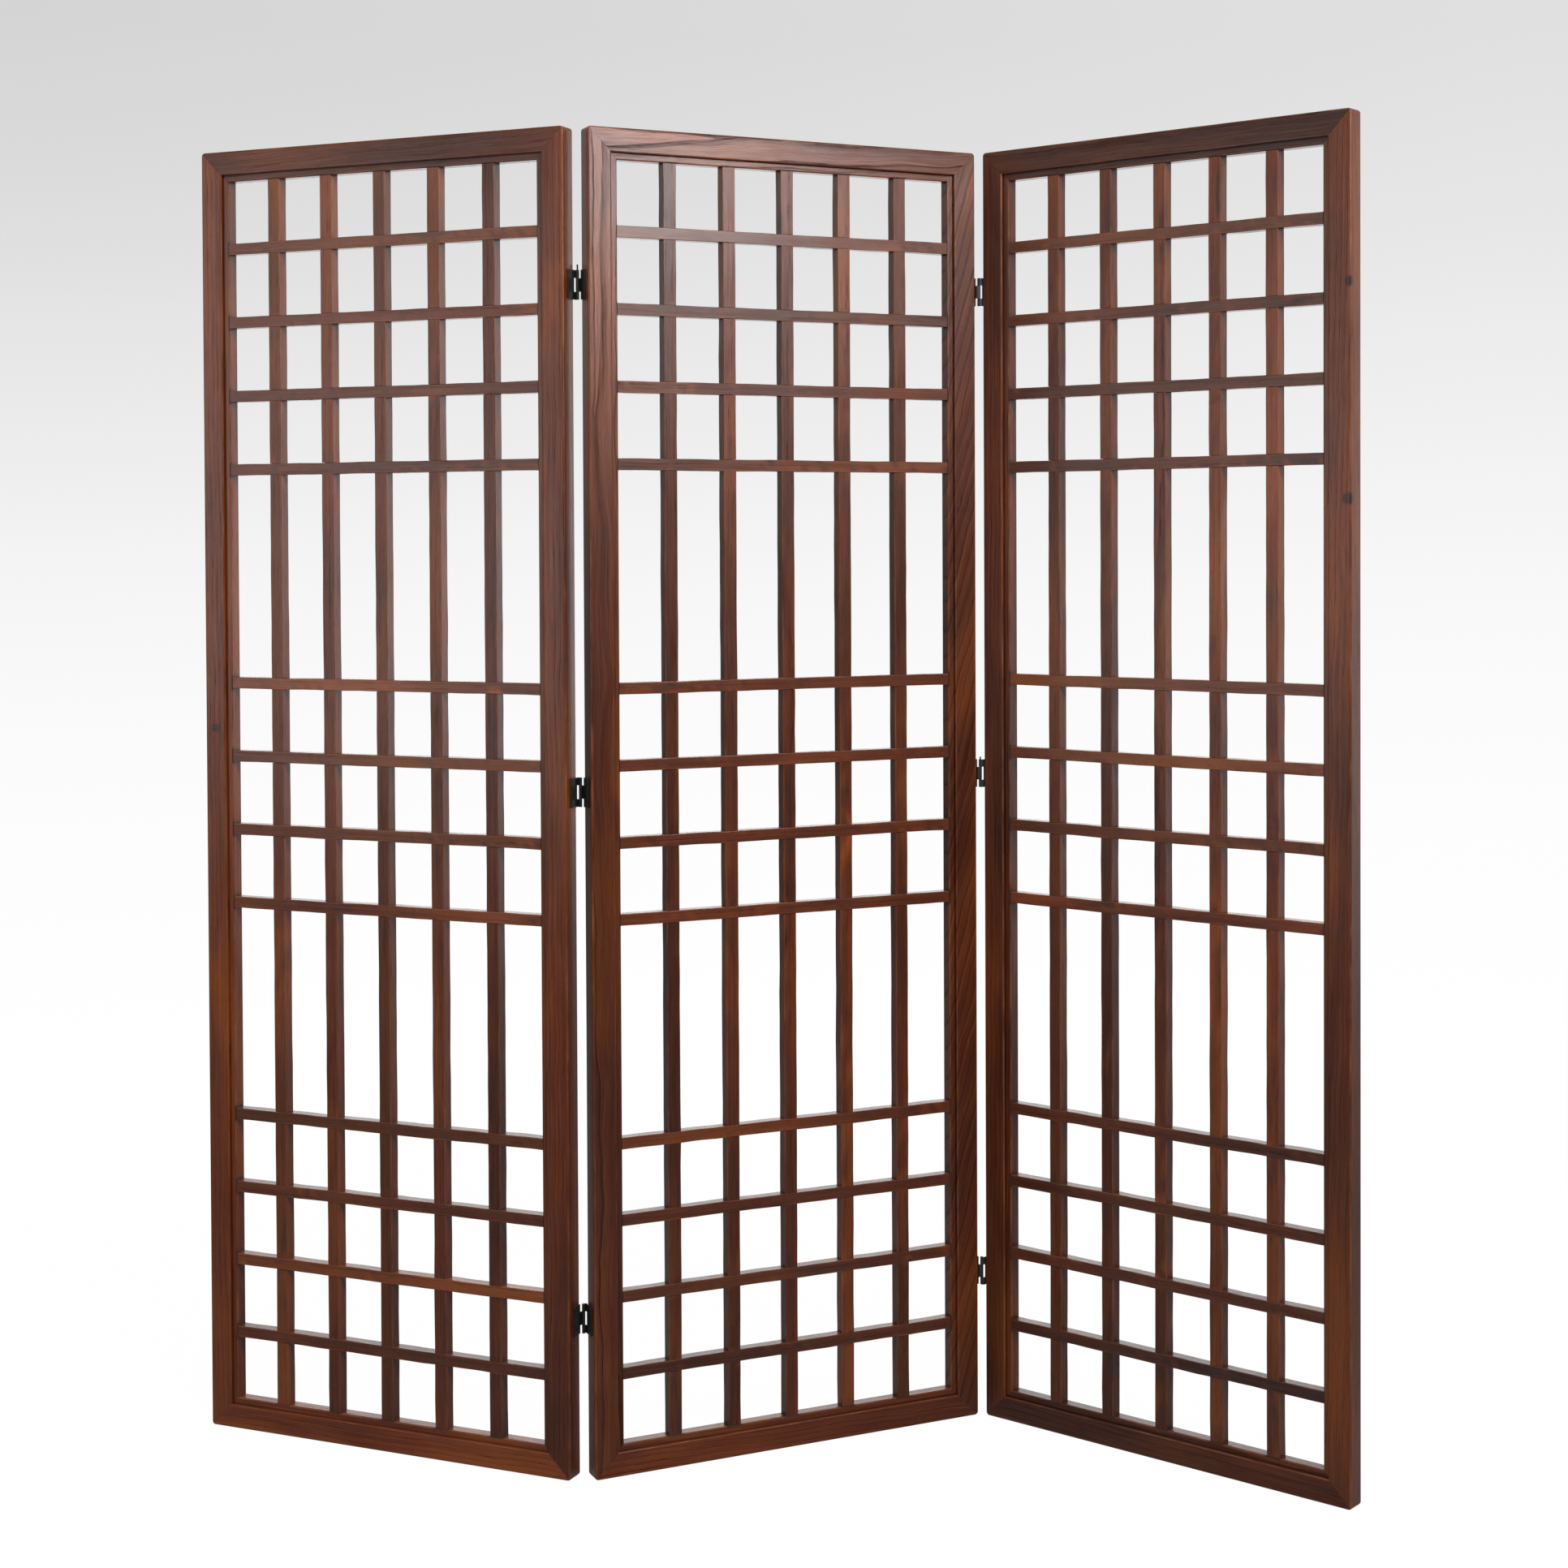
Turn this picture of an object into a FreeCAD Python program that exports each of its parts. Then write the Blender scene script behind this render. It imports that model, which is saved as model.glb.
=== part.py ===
import FreeCAD, Part

import math
import os

# A folding screen of three open wooden lattice panels, joined by three butt hinges at each
# fold. The middle panel stands square to the frame: X runs across it, Y from its front to its
# back, Z up, and the origin is the middle of its underside. All sizes are in millimetres.

# Panel frame
panel_height = 1830.0
panel_width = 590.0
frame_thickness = 28.0
face_width = 33.5
bead_width = 9.5
bead_thickness = 18.5
outer_round = 2.2
step_round = 1.2
bead_round = 1.4
corner_round = 5.0

# Lattice bars, which lie in the middle of the frame's thickness
upright_count = 5
upright_width = 18.8
crossbar_height = 16.0
bar_depth = 17.0
bars_per_group = 4
tall_cell = 288.5

# How much narrower the columns and lower the rows beside the frame are than the others
edge_column_trim = 1.9
edge_row_trim = 1.0

# Joinery: stub tenons on the bars, longer tenons on the rails at the mitred corners
bar_tenon_thickness = 8.0
bar_tenon_length = 14.0
bar_tenon_shoulder = 3.0
rail_tenon_thickness = 9.0
rail_tenon_height = 16.0
rail_tenon_setback = 14.0
rail_tenon_cover = 9.0
mortise_end_gap = 1.0

# How far a cutting box stands out of the face that it enters
cut_margin = 1.0

# Folds: the distance between two panels laid flat, how far a hinge's axis stands off their
# faces, and the angle that each fold is closed by from flat
fold_gap = 9.6
axis_offset = 2.6
left_fold_angle = 48.8
right_fold_angle = 64.9

# Butt hinges
hinge_length = 40.0
leaf_thickness = 1.4
leaf_reach = 20.0
leaf_setback = 3.2
barrel_radius = 2.3
pin_radius = 1.1
pin_clearance = 0.05
pin_chamfer = 0.3
end_knuckle = 10.6
knuckle_gap = 0.3

# For each hinge: how far its middle lies below the panel's top, above its middle or above its
# foot, how far the pin stands out of the barrel, and which panel's leaf carries the two end
# knuckles, -1 for the panel on the left of the fold and 1 for the one on the right
left_fold_hinges = {"top": (211.0, 7.5, -1), "middle": (17.0, 0.0, -1), "bottom": (214.0, 0.0, 1)}
right_fold_hinges = {"top": (200.0, 0.0, 1), "middle": (20.0, 4.0, 1), "bottom": (211.0, 0.0, 1)}

# Countersunk screws, two to a leaf
screw_spread = 24.0
screw_from_axis = 12.5
screw_length = 16.0
screw_radius = 1.2
screw_head_radius = 2.4
screw_tip = 2.0
screw_point_radius = 0.3
screw_clearance = 0.04
recess_length = 2.6
recess_width = 0.55
recess_depth = 0.7

# Sizes that follow
member_width = face_width + bead_width
opening_width = panel_width - 2.0 * member_width
opening_height = panel_height - 2.0 * member_width
half_width = panel_width / 2.0
half_thickness = frame_thickness / 2.0
half_bead = bead_thickness / 2.0
half_depth = bar_depth / 2.0
half_gap = fold_gap / 2.0
crossbar_count = 3 * bars_per_group
small_row_count = crossbar_count - 1
trimmed_width = opening_width + 2.0 * edge_column_trim
trimmed_height = opening_height + 2.0 * edge_row_trim
column_gap = (trimmed_width - upright_count * upright_width) / (upright_count + 1)
small_cell = (trimmed_height - 2.0 * tall_cell - crossbar_count * crossbar_height) / small_row_count
pin_bore_radius = pin_radius + pin_clearance
up = FreeCAD.Vector(0, 0, 1)


def box(x1, x2, y1, y2, z1, z2):
    """A box between three pairs of bounds, in any order."""
    corner = FreeCAD.Vector(min(x1, x2), min(y1, y2), min(z1, z2))
    return Part.makeBox(abs(x2 - x1), abs(y2 - y1), abs(z2 - z1), corner)


def rounded_face(corners):
    """A flat face from (point, radius) corners, each rounded by a tangent arc."""
    stretches = []
    arcs = []
    for index, (point, radius) in enumerate(corners):
        before = corners[index - 1][0] - point
        after = corners[(index + 1) % len(corners)][0] - point
        before.normalize()
        after.normalize()
        half_turn = before.getAngle(after) / 2.0
        reach = radius / math.tan(half_turn)
        start = point + before * reach
        end = point + after * reach
        stretches.append((start, end))
        if radius > 0:
            middle = before + after
            middle.normalize()
            crown = point + middle * (radius / math.sin(half_turn) - radius)
            arcs.append(Part.Arc(start, crown, end).toShape())
    lines = []
    for index, (start, end) in enumerate(stretches):
        lines.append(Part.makeLine(stretches[index - 1][1], start))
    return Part.Face(Part.Wire(Part.__sortEdges__(lines + arcs)))


def member_section(point_at):
    """The frame's section: a rounded outer edge, a flat face on both sides, and a bead that is
    stepped in from both faces. point_at places a point from its distance in from the panel's
    outer edge and its place across the thickness."""
    half_outline = [
        (0.0, half_thickness, outer_round),
        (face_width, half_thickness, step_round),
        (face_width, half_bead, 0.0),
        (member_width, half_bead, bead_round),
    ]
    corners = [(point_at(inward, -across), radius) for inward, across, radius in half_outline]
    corners += [(point_at(inward, across), radius) for inward, across, radius in half_outline[::-1]]
    return rounded_face(corners)


def mitred_prism(length, inward_point):
    """The outline that a frame member fills in the panel's elevation: square to the outer edge,
    mitred at both ends, with half of the panel's rounded corner at each. inward_point places a
    point from its distance along the member and its distance in from the outer edge."""
    short = corner_round * (1.0 - math.cos(math.pi / 4.0))
    quarter = corner_round * (1.0 - math.cos(math.pi / 8.0))
    eighth = corner_round * (1.0 - math.sin(math.pi / 8.0))
    tip_start = inward_point(short, short)
    tip_end = inward_point(length - short, short)
    first = inward_point(corner_round, 0.0)
    last = inward_point(length - corner_round, 0.0)
    edges = [
        Part.Arc(tip_start, inward_point(eighth, quarter), first).toShape(),
        Part.makeLine(first, last),
        Part.Arc(last, inward_point(length - eighth, quarter), tip_end).toShape(),
        Part.makeLine(tip_end, inward_point(length - member_width, member_width)),
        Part.makeLine(inward_point(length - member_width, member_width),
                      inward_point(member_width, member_width)),
        Part.makeLine(inward_point(member_width, member_width), tip_start),
    ]
    return Part.Face(Part.Wire(edges)).extrude(FreeCAD.Vector(0, frame_thickness, 0))


def upright_centres():
    first = column_gap - trimmed_width / 2.0 + upright_width / 2.0
    return [first + index * (column_gap + upright_width) for index in range(upright_count)]


def crossbar_groups():
    """Crossbar centre heights, as the top, middle and bottom groups, each from the top down."""
    pitch = small_cell + crossbar_height
    height = panel_height / 2.0 + trimmed_height / 2.0 - small_cell - crossbar_height / 2.0
    groups = []
    for _ in range(3):
        groups.append([height - index * pitch for index in range(bars_per_group)])
        height = groups[-1][-1] - tall_cell - crossbar_height
    return groups


def all_crossbars():
    return [height for group in crossbar_groups() for height in group]


def rail_tenon(side, at_top, extra):
    """A rail's tenon into one stile; side is -1 for the left stile and 1 for the right, and
    extra lengthens it for the mortise."""
    top_edge = panel_height - rail_tenon_setback if at_top else rail_tenon_setback + rail_tenon_height
    half_tenon = rail_tenon_thickness / 2.0
    return box(side * (half_width - rail_tenon_cover + extra), side * (half_width - member_width),
               -half_tenon, half_tenon, top_edge - rail_tenon_height, top_edge)


def stile(side, screw_heights):
    """A stile of one panel, with its mortises, and with pilot holes where hinges are fixed.
    screw_heights holds (height, distance from the front face) pairs."""
    outer = side * half_width
    section = member_section(lambda inward, across: FreeCAD.Vector(outer - side * inward, across, 0))
    bar = section.extrude(FreeCAD.Vector(0, 0, panel_height))
    outline = mitred_prism(panel_height, lambda along, inward:
                           FreeCAD.Vector(outer - side * inward, -half_thickness, along))
    wood = bar.common(outline)
    inner = outer - side * member_width
    half_tenon = bar_tenon_thickness / 2.0
    half_height = crossbar_height / 2.0 - bar_tenon_shoulder
    depth = bar_tenon_length + mortise_end_gap
    cuts = [box(inner - side * cut_margin, inner + side * depth, -half_tenon, half_tenon,
                height - half_height, height + half_height) for height in all_crossbars()]
    cuts += [rail_tenon(side, at_top, mortise_end_gap) for at_top in (False, True)]
    pilot_depth = screw_length - leaf_thickness + mortise_end_gap
    for height, from_middle in screw_heights:
        entry = FreeCAD.Vector(outer, from_middle, height)
        cuts.append(Part.makeCylinder(screw_radius + screw_clearance, pilot_depth, entry,
                                      FreeCAD.Vector(-side, 0, 0)))
    return wood.cut(cuts)


def rail(at_top):
    """The top or bottom rail of a panel, with its two tenons and the uprights' mortises."""
    base = panel_height if at_top else 0.0
    inward_sign = -1.0 if at_top else 1.0
    section = member_section(lambda inward, across:
                             FreeCAD.Vector(-half_width, across, base + inward_sign * inward))
    bar = section.extrude(FreeCAD.Vector(panel_width, 0, 0))
    outline = mitred_prism(panel_width, lambda along, inward:
                           FreeCAD.Vector(along - half_width, -half_thickness, base + inward_sign * inward))
    tenons = [rail_tenon(side, at_top, 0.0) for side in (-1, 1)]
    wood = bar.common(outline).fuse(tenons)
    inner = base + inward_sign * member_width
    half_tenon = bar_tenon_thickness / 2.0
    half_breadth = upright_width / 2.0 - bar_tenon_shoulder
    depth = bar_tenon_length + mortise_end_gap
    cuts = [box(centre - half_breadth, centre + half_breadth, -half_tenon, half_tenon,
                inner + inward_sign * cut_margin, inner - inward_sign * depth)
            for centre in upright_centres()]
    return wood.cut(cuts).removeSplitter()


def upright(centre):
    """An upright lattice bar, halved at the front where each crossbar passes."""
    low = member_width
    high = panel_height - member_width
    half_breadth = upright_width / 2.0
    tongue = half_breadth - bar_tenon_shoulder
    half_tenon = bar_tenon_thickness / 2.0
    bar = box(centre - half_breadth, centre + half_breadth, -half_depth, half_depth, low, high)
    tenon = box(centre - tongue, centre + tongue, -half_tenon, half_tenon,
                low - bar_tenon_length, high + bar_tenon_length)
    half_height = crossbar_height / 2.0
    laps = [box(centre - half_breadth, centre + half_breadth, -half_depth, 0.0,
                height - half_height, height + half_height) for height in all_crossbars()]
    return bar.fuse(tenon).cut(laps)


def crossbar(height):
    """A crossbar, whole at the front and halved at the back where each upright passes."""
    half_opening = opening_width / 2.0
    half_height = crossbar_height / 2.0
    tongue = half_height - bar_tenon_shoulder
    half_tenon = bar_tenon_thickness / 2.0
    bar = box(-half_opening, half_opening, -half_depth, half_depth,
              height - half_height, height + half_height)
    tenon = box(-half_opening - bar_tenon_length, half_opening + bar_tenon_length,
                -half_tenon, half_tenon, height - tongue, height + tongue)
    half_breadth = upright_width / 2.0
    laps = [box(centre - half_breadth, centre + half_breadth, 0.0, half_depth,
                height - half_height, height + half_height) for centre in upright_centres()]
    return bar.fuse(tenon).cut(laps)


def knuckle_spans(is_end):
    """Where a leaf has its knuckles along a hinge centred on zero: the two ends, or the middle."""
    half_length = hinge_length / 2.0
    inner_end = half_length - end_knuckle
    if is_end:
        return [(-half_length, -inner_end), (inner_end, half_length)]
    return [(knuckle_gap - inner_end, inner_end - knuckle_gap)]


def leaf_screw(side, inward, head_growth, radius_growth):
    """A countersunk screw at a leaf's screw position at height zero, as a solid of revolution
    whose axis points into the stile; the growths turn it into the hole that it fits."""
    head_plane = side * (half_gap - leaf_thickness)
    centre = FreeCAD.Vector(head_plane, inward * screw_from_axis, 0)
    into_wood = FreeCAD.Vector(side, 0, 0)
    head = Part.makeCone(screw_head_radius + head_growth, screw_radius + head_growth, leaf_thickness,
                         centre, into_wood)
    shank = Part.makeCylinder(screw_radius + radius_growth, screw_length - screw_tip, centre, into_wood)
    tip = Part.makeCone(screw_radius + radius_growth, screw_point_radius, screw_tip,
                        centre + into_wood * (screw_length - screw_tip), into_wood)
    return head.fuse([shank, tip])


def screw(side, inward):
    """One screw with a cross recess in its head."""
    head_plane = side * (half_gap - leaf_thickness)
    outside = head_plane - side * cut_margin
    middle = inward * screw_from_axis
    floor_plane = head_plane + side * recess_depth
    half_long = recess_length / 2.0
    half_wide = recess_width / 2.0
    recess = [box(outside, floor_plane, middle - half_long, middle + half_long, -half_wide, half_wide),
              box(outside, floor_plane, middle - half_wide, middle + half_wide, -half_long, half_long)]
    return leaf_screw(side, inward, 0.0, 0.0).cut(recess)


def screw_offsets():
    return [-screw_spread / 2.0, screw_spread / 2.0]


def hinge_leaf(side, inward, is_end):
    """One leaf with its knuckles, about a hinge axis on Z and centred on zero height. side is -1
    for the panel on the left; inward is the sign of Y from the axis into the panels."""
    half_length = hinge_length / 2.0
    wood_plane = side * half_gap
    free_plane = side * (half_gap - leaf_thickness)
    metal = box(wood_plane, free_plane, inward * leaf_setback, inward * leaf_reach, -half_length, half_length)
    pieces = []
    for low, high in knuckle_spans(is_end):
        pieces.append(box(wood_plane, free_plane, -inward * barrel_radius, inward * leaf_setback, low, high))
        pieces.append(box(wood_plane, 0.0, -inward * barrel_radius,
                          -inward * (barrel_radius - leaf_thickness), low, high))
        pieces.append(Part.makeCylinder(barrel_radius, high - low, FreeCAD.Vector(0, 0, low)))
    bore = Part.makeCylinder(pin_bore_radius, 2.0 * hinge_length, FreeCAD.Vector(0, 0, -hinge_length))
    cuts = [bore]
    for offset in screw_offsets():
        hole = leaf_screw(side, inward, screw_clearance, screw_clearance)
        hole.translate(up * offset)
        cuts.append(hole)
    return metal.fuse(pieces).cut(cuts).removeSplitter()


def hinge_pin(raised):
    """A plain pin through the barrel, flush below and standing out by raised above."""
    length = hinge_length + raised
    pin = Part.makeCylinder(pin_radius, length, FreeCAD.Vector(0, 0, -hinge_length / 2.0))
    ends = [edge for edge in pin.Edges if edge.BoundBox.ZLength < pin_chamfer]
    return pin.makeChamfer(pin_chamfer, ends)


def panel(name, pilots):
    """The wooden nodes of one panel, flat on the frame's origin. pilots holds, for each side that
    carries hinges, the (height, distance from the middle of the thickness) of its screws."""
    nodes = {}
    for side, side_name in ((-1, "left"), (1, "right")):
        nodes[f"{name}_panel_{side_name}_stile"] = stile(side, pilots.get(side, []))
    nodes[f"{name}_panel_top_rail"] = rail(True)
    nodes[f"{name}_panel_bottom_rail"] = rail(False)
    for number, centre in enumerate(upright_centres(), 1):
        nodes[f"{name}_panel_upright_{number}"] = upright(centre)
    for group_name, heights in zip(("top", "middle", "bottom"), crossbar_groups()):
        bars = [crossbar(height) for height in heights]
        nodes[f"{name}_panel_{group_name}_crossbars"] = Part.makeCompound(bars)
    return nodes


def hinge_height(place, distance):
    """A hinge's height above the floor, from its distance to the nearest of top, middle and foot."""
    heights = {"top": panel_height - distance, "middle": panel_height / 2.0 + distance, "bottom": distance}
    return heights[place]


def pilot_places(hinges, inward):
    """Screw places on a stile, for a fold whose hinges lie on the face that inward points from."""
    from_middle = -inward * (half_thickness + axis_offset) + inward * screw_from_axis
    heights = [hinge_height(place, distance) for place, (distance, _, _) in hinges.items()]
    return [(height + offset, from_middle) for height in heights for offset in screw_offsets()]


def fold(name, hinges, inward, axis_point):
    """The hinges of one fold, flat, with the screws of the left and right leaves apart."""
    leaves = {-1: {}, 1: {}}
    pins = {}
    screws = {-1: [], 1: []}
    for place, (distance, raised, end_side) in hinges.items():
        centre = axis_point + up * hinge_height(place, distance)
        for side, side_name in ((-1, "left"), (1, "right")):
            leaf = hinge_leaf(side, inward, side == end_side)
            leaf.translate(centre)
            leaves[side][f"{name}_fold_{place}_hinge_{side_name}_leaf"] = leaf
            for offset in screw_offsets():
                piece = screw(side, inward)
                piece.translate(centre + up * offset)
                screws[side].append(piece)
        pin = hinge_pin(raised)
        pin.translate(centre)
        pins[f"{name}_fold_{place}_hinge_pin"] = pin
    return leaves, pins, screws


def placed(shape, shift, axis_point, angle):
    """A flat panel's shape moved sideways to its place and turned about its fold."""
    moved = shape.copy()
    moved.translate(FreeCAD.Vector(shift, 0, 0))
    moved.rotate(axis_point, up, angle)
    return moved


# The left fold has its barrels behind the panels and the right fold in front, so the screen
# stands in a zigzag: the left panel runs back from the middle one, and the right panel forward.
fold_reach = half_width + half_gap
axis_stand = half_thickness + axis_offset
left_axis = FreeCAD.Vector(-fold_reach, axis_stand, 0)
right_axis = FreeCAD.Vector(fold_reach, -axis_stand, 0)
panel_pitch = panel_width + fold_gap

left_pilots = pilot_places(left_fold_hinges, -1)
right_pilots = pilot_places(right_fold_hinges, 1)
left_leaves, left_pins, left_screws = fold("left", left_fold_hinges, -1, left_axis)
right_leaves, right_pins, right_screws = fold("right", right_fold_hinges, 1, right_axis)

nodes = dict(panel("middle", {-1: left_pilots, 1: right_pilots}))
for shape_name, shape in panel("left", {1: left_pilots}).items():
    nodes[shape_name] = placed(shape, -panel_pitch, left_axis, -left_fold_angle)
for shape_name, shape in panel("right", {-1: right_pilots}).items():
    nodes[shape_name] = placed(shape, panel_pitch, right_axis, -right_fold_angle)

nodes.update(left_leaves[1])
nodes.update(right_leaves[-1])
nodes.update(left_pins)
nodes.update(right_pins)
nodes["middle_panel_left_screws"] = Part.makeCompound(left_screws[1])
nodes["middle_panel_right_screws"] = Part.makeCompound(right_screws[-1])
for leaf_name, leaf in left_leaves[-1].items():
    nodes[leaf_name] = placed(leaf, 0.0, left_axis, -left_fold_angle)
for leaf_name, leaf in right_leaves[1].items():
    nodes[leaf_name] = placed(leaf, 0.0, right_axis, -right_fold_angle)
nodes["left_panel_screws"] = placed(Part.makeCompound(left_screws[-1]), 0.0, left_axis, -left_fold_angle)
nodes["right_panel_screws"] = placed(Part.makeCompound(right_screws[1]), 0.0, right_axis, -right_fold_angle)

os.makedirs("parts", exist_ok=True)
for node_name, node in nodes.items():
    node.exportStep(f"parts/{node_name}.step")
    print(f"{node_name}: {len(node.Solids)} solid(s), {node.Volume / 1000.0:.1f} cm3, valid {node.isValid()}")
print(f"{len(nodes)} nodes, small cell {small_cell:.2f} high, column gap {column_gap:.2f} wide")
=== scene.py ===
import bmesh
import bpy
import math
from mathutils import Matrix, Vector


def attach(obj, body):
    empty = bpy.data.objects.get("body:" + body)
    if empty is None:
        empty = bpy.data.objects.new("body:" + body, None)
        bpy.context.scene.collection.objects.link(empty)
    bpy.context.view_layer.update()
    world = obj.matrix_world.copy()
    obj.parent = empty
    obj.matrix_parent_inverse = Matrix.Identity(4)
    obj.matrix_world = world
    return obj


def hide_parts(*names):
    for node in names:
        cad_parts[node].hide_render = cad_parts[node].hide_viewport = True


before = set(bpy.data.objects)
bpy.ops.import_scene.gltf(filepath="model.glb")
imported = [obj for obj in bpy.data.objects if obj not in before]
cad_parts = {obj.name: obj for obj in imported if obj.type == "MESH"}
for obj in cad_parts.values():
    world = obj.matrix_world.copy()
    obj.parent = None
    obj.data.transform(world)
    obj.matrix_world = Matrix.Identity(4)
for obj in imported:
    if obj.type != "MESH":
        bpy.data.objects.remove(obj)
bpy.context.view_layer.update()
panelNames = ("left", "middle", "right")
print("frame loaded:", len(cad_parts), "nodes")

# How the three panels stand. Every panel is made flat and square to X first, then put in its place.
standing = {
    "panelPitch": 0.5996,
    "leftAxis": (-0.2998, 0.0166),
    "rightAxis": (0.2998, -0.0166),
    "leftAngle": 48.8,
    "rightAngle": 64.9,
}


def axisPoint(fold, height=0.0):
    return Vector((*standing[fold + "Axis"], height))


def turnAbout(fold):
    axis = axisPoint(fold)
    turn = Matrix.Rotation(math.radians(-standing[fold + "Angle"]), 4, "Z")
    return Matrix.Translation(axis) @ turn @ Matrix.Translation(-axis)


def panelPlace(panel):
    if panel == "middle":
        return Matrix.Identity(4)
    side = -1.0 if panel == "left" else 1.0
    return turnAbout(panel) @ Matrix.Translation((side * standing["panelPitch"], 0.0, 0.0))


def setSocket(tree, socket, value):
    if isinstance(value, bpy.types.NodeSocket):
        tree.links.new(value, socket)
    else:
        socket.default_value = value


def addNode(tree, kind, inputs=None, **settings):
    node = tree.nodes.new(kind)
    for key, value in settings.items():
        setattr(node, key, value)
    for key, value in (inputs or {}).items():
        setSocket(tree, node.inputs[key], value)
    return node


def calc(tree, operation, *values):
    return addNode(tree, "ShaderNodeMath", dict(enumerate(values)), operation=operation).outputs[0]


def times(tree, *values):
    return calc(tree, "MULTIPLY", *values)


def timesPlus(tree, value, factor, more):
    return calc(tree, "MULTIPLY_ADD", value, factor, more)


def vectorCalc(tree, operation, *values, output=0):
    return addNode(tree, "ShaderNodeVectorMath", dict(enumerate(values)), operation=operation).outputs[output]


def partsOf(tree, vector):
    return addNode(tree, "ShaderNodeSeparateXYZ", {0: vector}).outputs


def shading(tree, kind, inputs=None):
    return addNode(tree, "ShaderNode" + kind, inputs).outputs[0]


def vectorOf(tree, **parts):
    return shading(tree, "CombineXYZ", parts)


def objectPlace(tree):
    return addNode(tree, "ShaderNodeTexCoord").outputs["Object"]


def greyOf(tree, value):
    return shading(tree, "CombineColor", {0: value, 1: value, 2: value})


def opaque(colour):
    return (*colour, 1.0)


def newMaterial(name):
    material = bpy.data.materials.new(name)
    material.use_nodes = True
    material.node_tree.nodes.clear()
    return material, material.node_tree


def finishMaterial(tree, shader):
    addNode(tree, "ShaderNodeOutputMaterial", {"Surface": shader})


def meshFrom(work, name):
    mesh = bpy.data.meshes.new(name)
    work.to_mesh(mesh)
    work.free()
    return mesh


def mapRange(tree, value, low, high, toLow=0.0, toHigh=1.0, smooth=True):
    inputs = {"Value": value, "From Min": low, "From Max": high, "To Min": toLow, "To Max": toHigh}
    kind = "SMOOTHSTEP" if smooth else "LINEAR"
    return addNode(tree, "ShaderNodeMapRange", inputs, interpolation_type=kind).outputs["Result"]


def mixColour(tree, amount, first, second, blend="MIX"):
    node = addNode(tree, "ShaderNodeMix", data_type="RGBA", blend_type=blend)
    for key, value in (("Factor_Float", amount), ("A_Color", first), ("B_Color", second)):
        setSocket(tree, next(entry for entry in node.inputs if entry.identifier == key), value)
    return next(entry for entry in node.outputs if entry.identifier == "Result_Color")


def ramp(tree, value, stops):
    node = addNode(tree, "ShaderNodeValToRGB", {"Fac": value})
    elements = node.color_ramp.elements
    while len(elements) < len(stops):
        elements.new(0.5)
    for element, (position, colour) in zip(elements, stops):
        element.position = position
        element.color = (*colour, 1.0)
    return node.outputs["Color"]


def noise(tree, place, scale, detail=2.0, roughness=0.5):
    stretched = vectorCalc(tree, "MULTIPLY", place, scale)
    inputs = {"Vector": stretched, "Scale": 1.0, "Detail": detail, "Roughness": roughness}
    return addNode(tree, "ShaderNodeTexNoise", inputs, noise_dimensions="3D").outputs["Fac"]


# The dark red-brown stained wood. grainPlace holds each point's place on its own board, along it,
# across it and through it. boardTone is a number from 0 to 1 that differs by board, boardShade says
# how light the board is, boardFigure how strong its figure is, how much wider its rings are and how
# far its grain runs out of line, and a last value marks the painted contact shade and dark joint gap
# around the lattice bars' ends.
woodLook = {
    "darkColour": (0.034, 0.0060, 0.0014),
    "middleColour": (0.094, 0.0175, 0.0032),
    "lightColour": (0.192, 0.0460, 0.0075),
    "boardTint": (0.200, 0.0500, 0.0068),
    "smudgeColour": (0.018, 0.0110, 0.0075),
    "poreColour": (0.014, 0.0030, 0.0012),
    # colour of the arrises' wear, partly a painted highlight on the rounds
    "wornAndHighlightColour": (0.230, 0.0820, 0.0360),
    # colour of the painted shade at the bar ends and in the frame's quirk
    "paintedShadeColour": (0.022, 0.0060, 0.0028),
    "specular": 0.36,
    "specularTint": (1.0, 0.94, 0.94),
    "coatRoughness": 0.18,
    "bumpStrength": 0.6,
    "bumpDepth": 0.00016,
}
# The grain: where the tree's heart lies from the board, its rings, and each noise as (scale, detail,
# roughness), with its scale along, across and through the board
grainLook = {
    "heartSpread": (9.0, 0.13, 0.06),
    "heartMiddle": (0.0, -0.065, 0.012),
    "ringStretch": (0.045, 1.0, 1.0),
    "ringScale": 46.0,
    "ringWander": 8.0,
    "ringDetail": (2.5, 0.45, 0.55),
    "waver": 0.030,
    "plainWaver": 0.3,
    "wavering": ((6.0, 3.0, 3.0), 2.0, 0.5),
    "streaks": ((2.4, 170.0, 170.0), 4.0, 0.6),
    "patches": ((4.5, 22.0, 22.0), 3.0, 0.6),
    "broad": ((2.3, 9.0, 9.0), 2.0, 0.5),
    "warmth": ((2.8, 12.0, 12.0), 2.0, 0.5),
    "pores": ((34.0, 1300.0, 1300.0), 2.0, 0.6),
    "fibres": ((11.0, 560.0, 560.0), 3.0, 0.65),
    "smudges": ((8.0, 42.0, 42.0), 3.0, 0.6),
    "rubbed": ((16.0, 60.0, 60.0), 3.0, 0.6),
    "knotEdge": ((90.0, 260.0, 260.0), 3.0, 0.6),
    "warmthShift": (3.1, 0.7, 0.2),
    "smudgeShift": (0.4, 1.7, 0.3),
}
# How much each part of the grain counts in the figure, and the range that becomes dark to light
figureLook = {
    "rings": 0.30,
    "streaks": 0.60,
    "fibres": 0.30,
    "middle": 0.60,
    "plain": 0.35,
    "patches": 0.7,
    "range": (0.04, 0.70),
    "toneTint": 0.55,
}
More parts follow.
